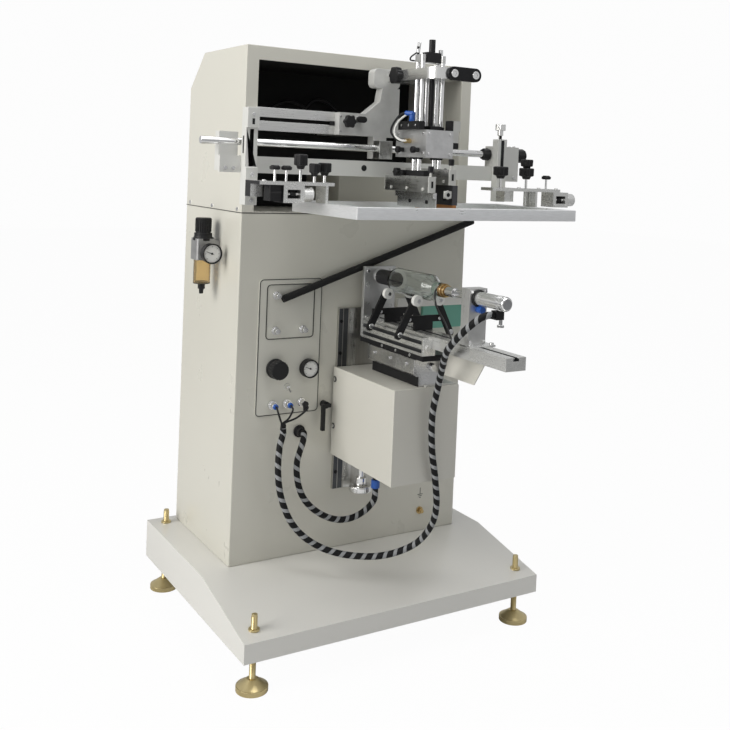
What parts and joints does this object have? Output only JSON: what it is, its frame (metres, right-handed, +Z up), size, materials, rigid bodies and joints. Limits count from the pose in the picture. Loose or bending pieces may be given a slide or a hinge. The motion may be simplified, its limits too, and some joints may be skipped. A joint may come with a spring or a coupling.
{
  "type": "curved surface screen printing machine",
  "caption": "Cabinet machine that prints on bottles: a sliding screen, a lifting squeegee head and a height-adjustable roller fixture on a levelled plinth.",
  "frame": {"origin": "floor level, under the middle of the whole machine's outline", "axes": "+X to the machine's right along the slide rod, +Y to the back, +Z up"},
  "size_m": [0.9216, 0.88, 1.324],
  "materials": {
    "base_plinth": "gloss paint",
    "levelling_feet": "yellow zinc",
    "cabinet_body": "gloss paint",
    "hood_shell": "gloss paint",
    "hood_lining": "matte black",
    "drive_housing": "gloss paint",
    "control_panel": "gloss paint",
    "needle_valves": "polished",
    "pressure_knob": "matte",
    "panel_gauge": "polished",
    "air_sockets": "polished",
    "hose_grommet": "matte",
    "earth_terminal": "plain",
    "filter_regulator": "matte",
    "filter_bowl": "clear",
    "guide_column": "brushed",
    "padded_bar": "matte",
    "green_plate": "semi-gloss",
    "gooseneck_arm": "satin",
    "upper_beam": "machined",
    "rod_bearing": "machined",
    "head_cross_rod": "machined",
    "head_block": "machined",
    "main_hose": "braided sleeve",
    "small_hose": "braided sleeve",
    "socket_tubes": "matte",
    "hood_cables": "matte",
    "toggle_lever": "polished",
    "clamp_lever": "matte",
    "slide_rod": "polished",
    "carriage_bar": "machined",
    "left_column": "machined",
    "right_column": "machined",
    "left_holder": "machined",
    "right_holder": "machined",
    "screen_frame": "machined",
    "screen_mesh": "woven polyester",
    "squeegee_carrier": "machined",
    "squeegee_blade": "polyurethane",
    "flood_carrier": "machined",
    "flood_blade": "brushed",
    "elevator_box": "gloss paint",
    "lift_slider": "brushed",
    "dovetail_slide": "brushed",
    "fixture_plate": "black oxide",
    "workpiece_rail": "machined",
    "rail_gusset": "gloss paint",
    "headstock_plate": "machined",
    "roller_arms": "black oxide",
    "tailstock_block": "machined",
    "tail_cylinder": "machined",
    "handwheel": "polished",
    "tail_centre": "plain",
    "rollers_left": "nylon",
    "rollers_right": "nylon",
    "bottle_chuck": "matte",
    "sample_bottle": "clear"
  },
  "bodies": {
    "machine": {"base_plinth": "base_plinth", "levelling_feet": "levelling_feet", "cabinet_body": "cabinet_body", "hood_shell": "hood_shell", "hood_lining": "hood_lining", "drive_housing": "drive_housing", "control_panel": "control_panel", "needle_valves": "needle_valves", "pressure_knob": "pressure_knob", "panel_gauge": "panel_gauge", "air_sockets": "air_sockets", "hose_grommet": "hose_grommet", "earth_terminal": "earth_terminal", "filter_regulator": "filter_regulator", "filter_bowl": "filter_bowl", "guide_column": "guide_column", "padded_bar": "padded_bar", "green_plate": "green_plate", "gooseneck_arm": "gooseneck_arm", "upper_beam": "upper_beam", "rod_bearing": "rod_bearing", "head_cross_rod": "head_cross_rod", "head_block": "head_block", "main_hose": "main_hose", "small_hose": "small_hose", "socket_tubes": "socket_tubes", "hood_cables": "hood_cables"},
    "toggle": {"toggle_lever": "toggle_lever"},
    "clamp": {"clamp_lever": "clamp_lever"},
    "carriage": {"slide_rod": "slide_rod", "carriage_bar": "carriage_bar", "left_column": "left_column", "right_column": "right_column", "left_holder": "left_holder", "right_holder": "right_holder", "screen_frame": "screen_frame", "screen_mesh": "screen_mesh"},
    "squeegee": {"squeegee_carrier": "squeegee_carrier", "squeegee_blade": "squeegee_blade"},
    "flood_bar": {"flood_carrier": "flood_carrier", "flood_blade": "flood_blade"},
    "lift_table": {"elevator_box": "elevator_box", "lift_slider": "lift_slider", "dovetail_slide": "dovetail_slide", "fixture_plate": "fixture_plate", "workpiece_rail": "workpiece_rail", "rail_gusset": "rail_gusset", "headstock_plate": "headstock_plate", "roller_arms": "roller_arms", "tailstock_block": "tailstock_block", "tail_cylinder": "tail_cylinder"},
    "lift_wheel": {"handwheel": "handwheel"},
    "tail": {"tail_centre": "tail_centre"},
    "left_rollers": {"rollers_left": "rollers_left"},
    "right_rollers": {"rollers_right": "rollers_right"},
    "spindle": {"bottle_chuck": "bottle_chuck", "sample_bottle": "sample_bottle"}
  },
  "joints": [
    {"name": "carriage_slide", "type": "slide", "parent": "machine", "child": "carriage", "axis": [1, 0, 0], "range_m": [-0.1, 0.1]},
    {"name": "squeegee_lift", "type": "slide", "parent": "machine", "child": "squeegee", "axis": [0, 0, 1], "range_m": [-0.008, 0.018]},
    {"name": "flood_lift", "type": "slide", "parent": "machine", "child": "flood_bar", "axis": [0, 0, 1], "range_m": [-0.008, 0.018]},
    {"name": "table_lift", "type": "slide", "parent": "machine", "child": "lift_table", "axis": [0, 0, 1], "range_m": [-0.06, 0.11], "deforming": ["main_hose", "small_hose"]},
    {"name": "wheel_turn", "type": "hinge", "parent": "lift_table", "child": "lift_wheel", "pos_m": [-0.03875, 0.048, 0.315], "axis": [0, 0, 1], "range_deg": [-4320, 7920]},
    {"name": "tail_feed", "type": "slide", "parent": "lift_table", "child": "tail", "axis": [0, -1, 0], "range_m": [0, 0.025]},
    {"name": "spindle_turn", "type": "hinge", "parent": "lift_table", "child": "spindle", "pos_m": [-0.00175, -0.007, 0.793], "axis": [0, 1, 0], "continuous": true},
    {"name": "left_rollers_turn", "type": "hinge", "parent": "lift_table", "child": "left_rollers", "pos_m": [-0.03025, -0.023, 0.7645], "axis": [0, 1, 0], "continuous": true},
    {"name": "right_rollers_turn", "type": "hinge", "parent": "lift_table", "child": "right_rollers", "pos_m": [0.02675, -0.023, 0.7645], "axis": [0, 1, 0], "continuous": true},
    {"name": "toggle_tip", "type": "hinge", "parent": "machine", "child": "toggle", "pos_m": [-0.21475, 0.085, 0.547], "axis": [-1, 0, 0], "range_deg": [0, 50]},
    {"name": "clamp_turn", "type": "hinge", "parent": "machine", "child": "clamp", "pos_m": [-0.12075, 0.083, 0.5], "axis": [0, 1, 0], "range_deg": [0, 30]}
  ],
  "couplings": [
    {"joint": "left_rollers_turn", "follows": "spindle_turn", "ratio": -2.3333},
    {"joint": "right_rollers_turn", "follows": "spindle_turn", "ratio": -2.3333},
    {"joint": "wheel_turn", "follows": "table_lift", "rad_per_m": 1256.6}
  ]
}
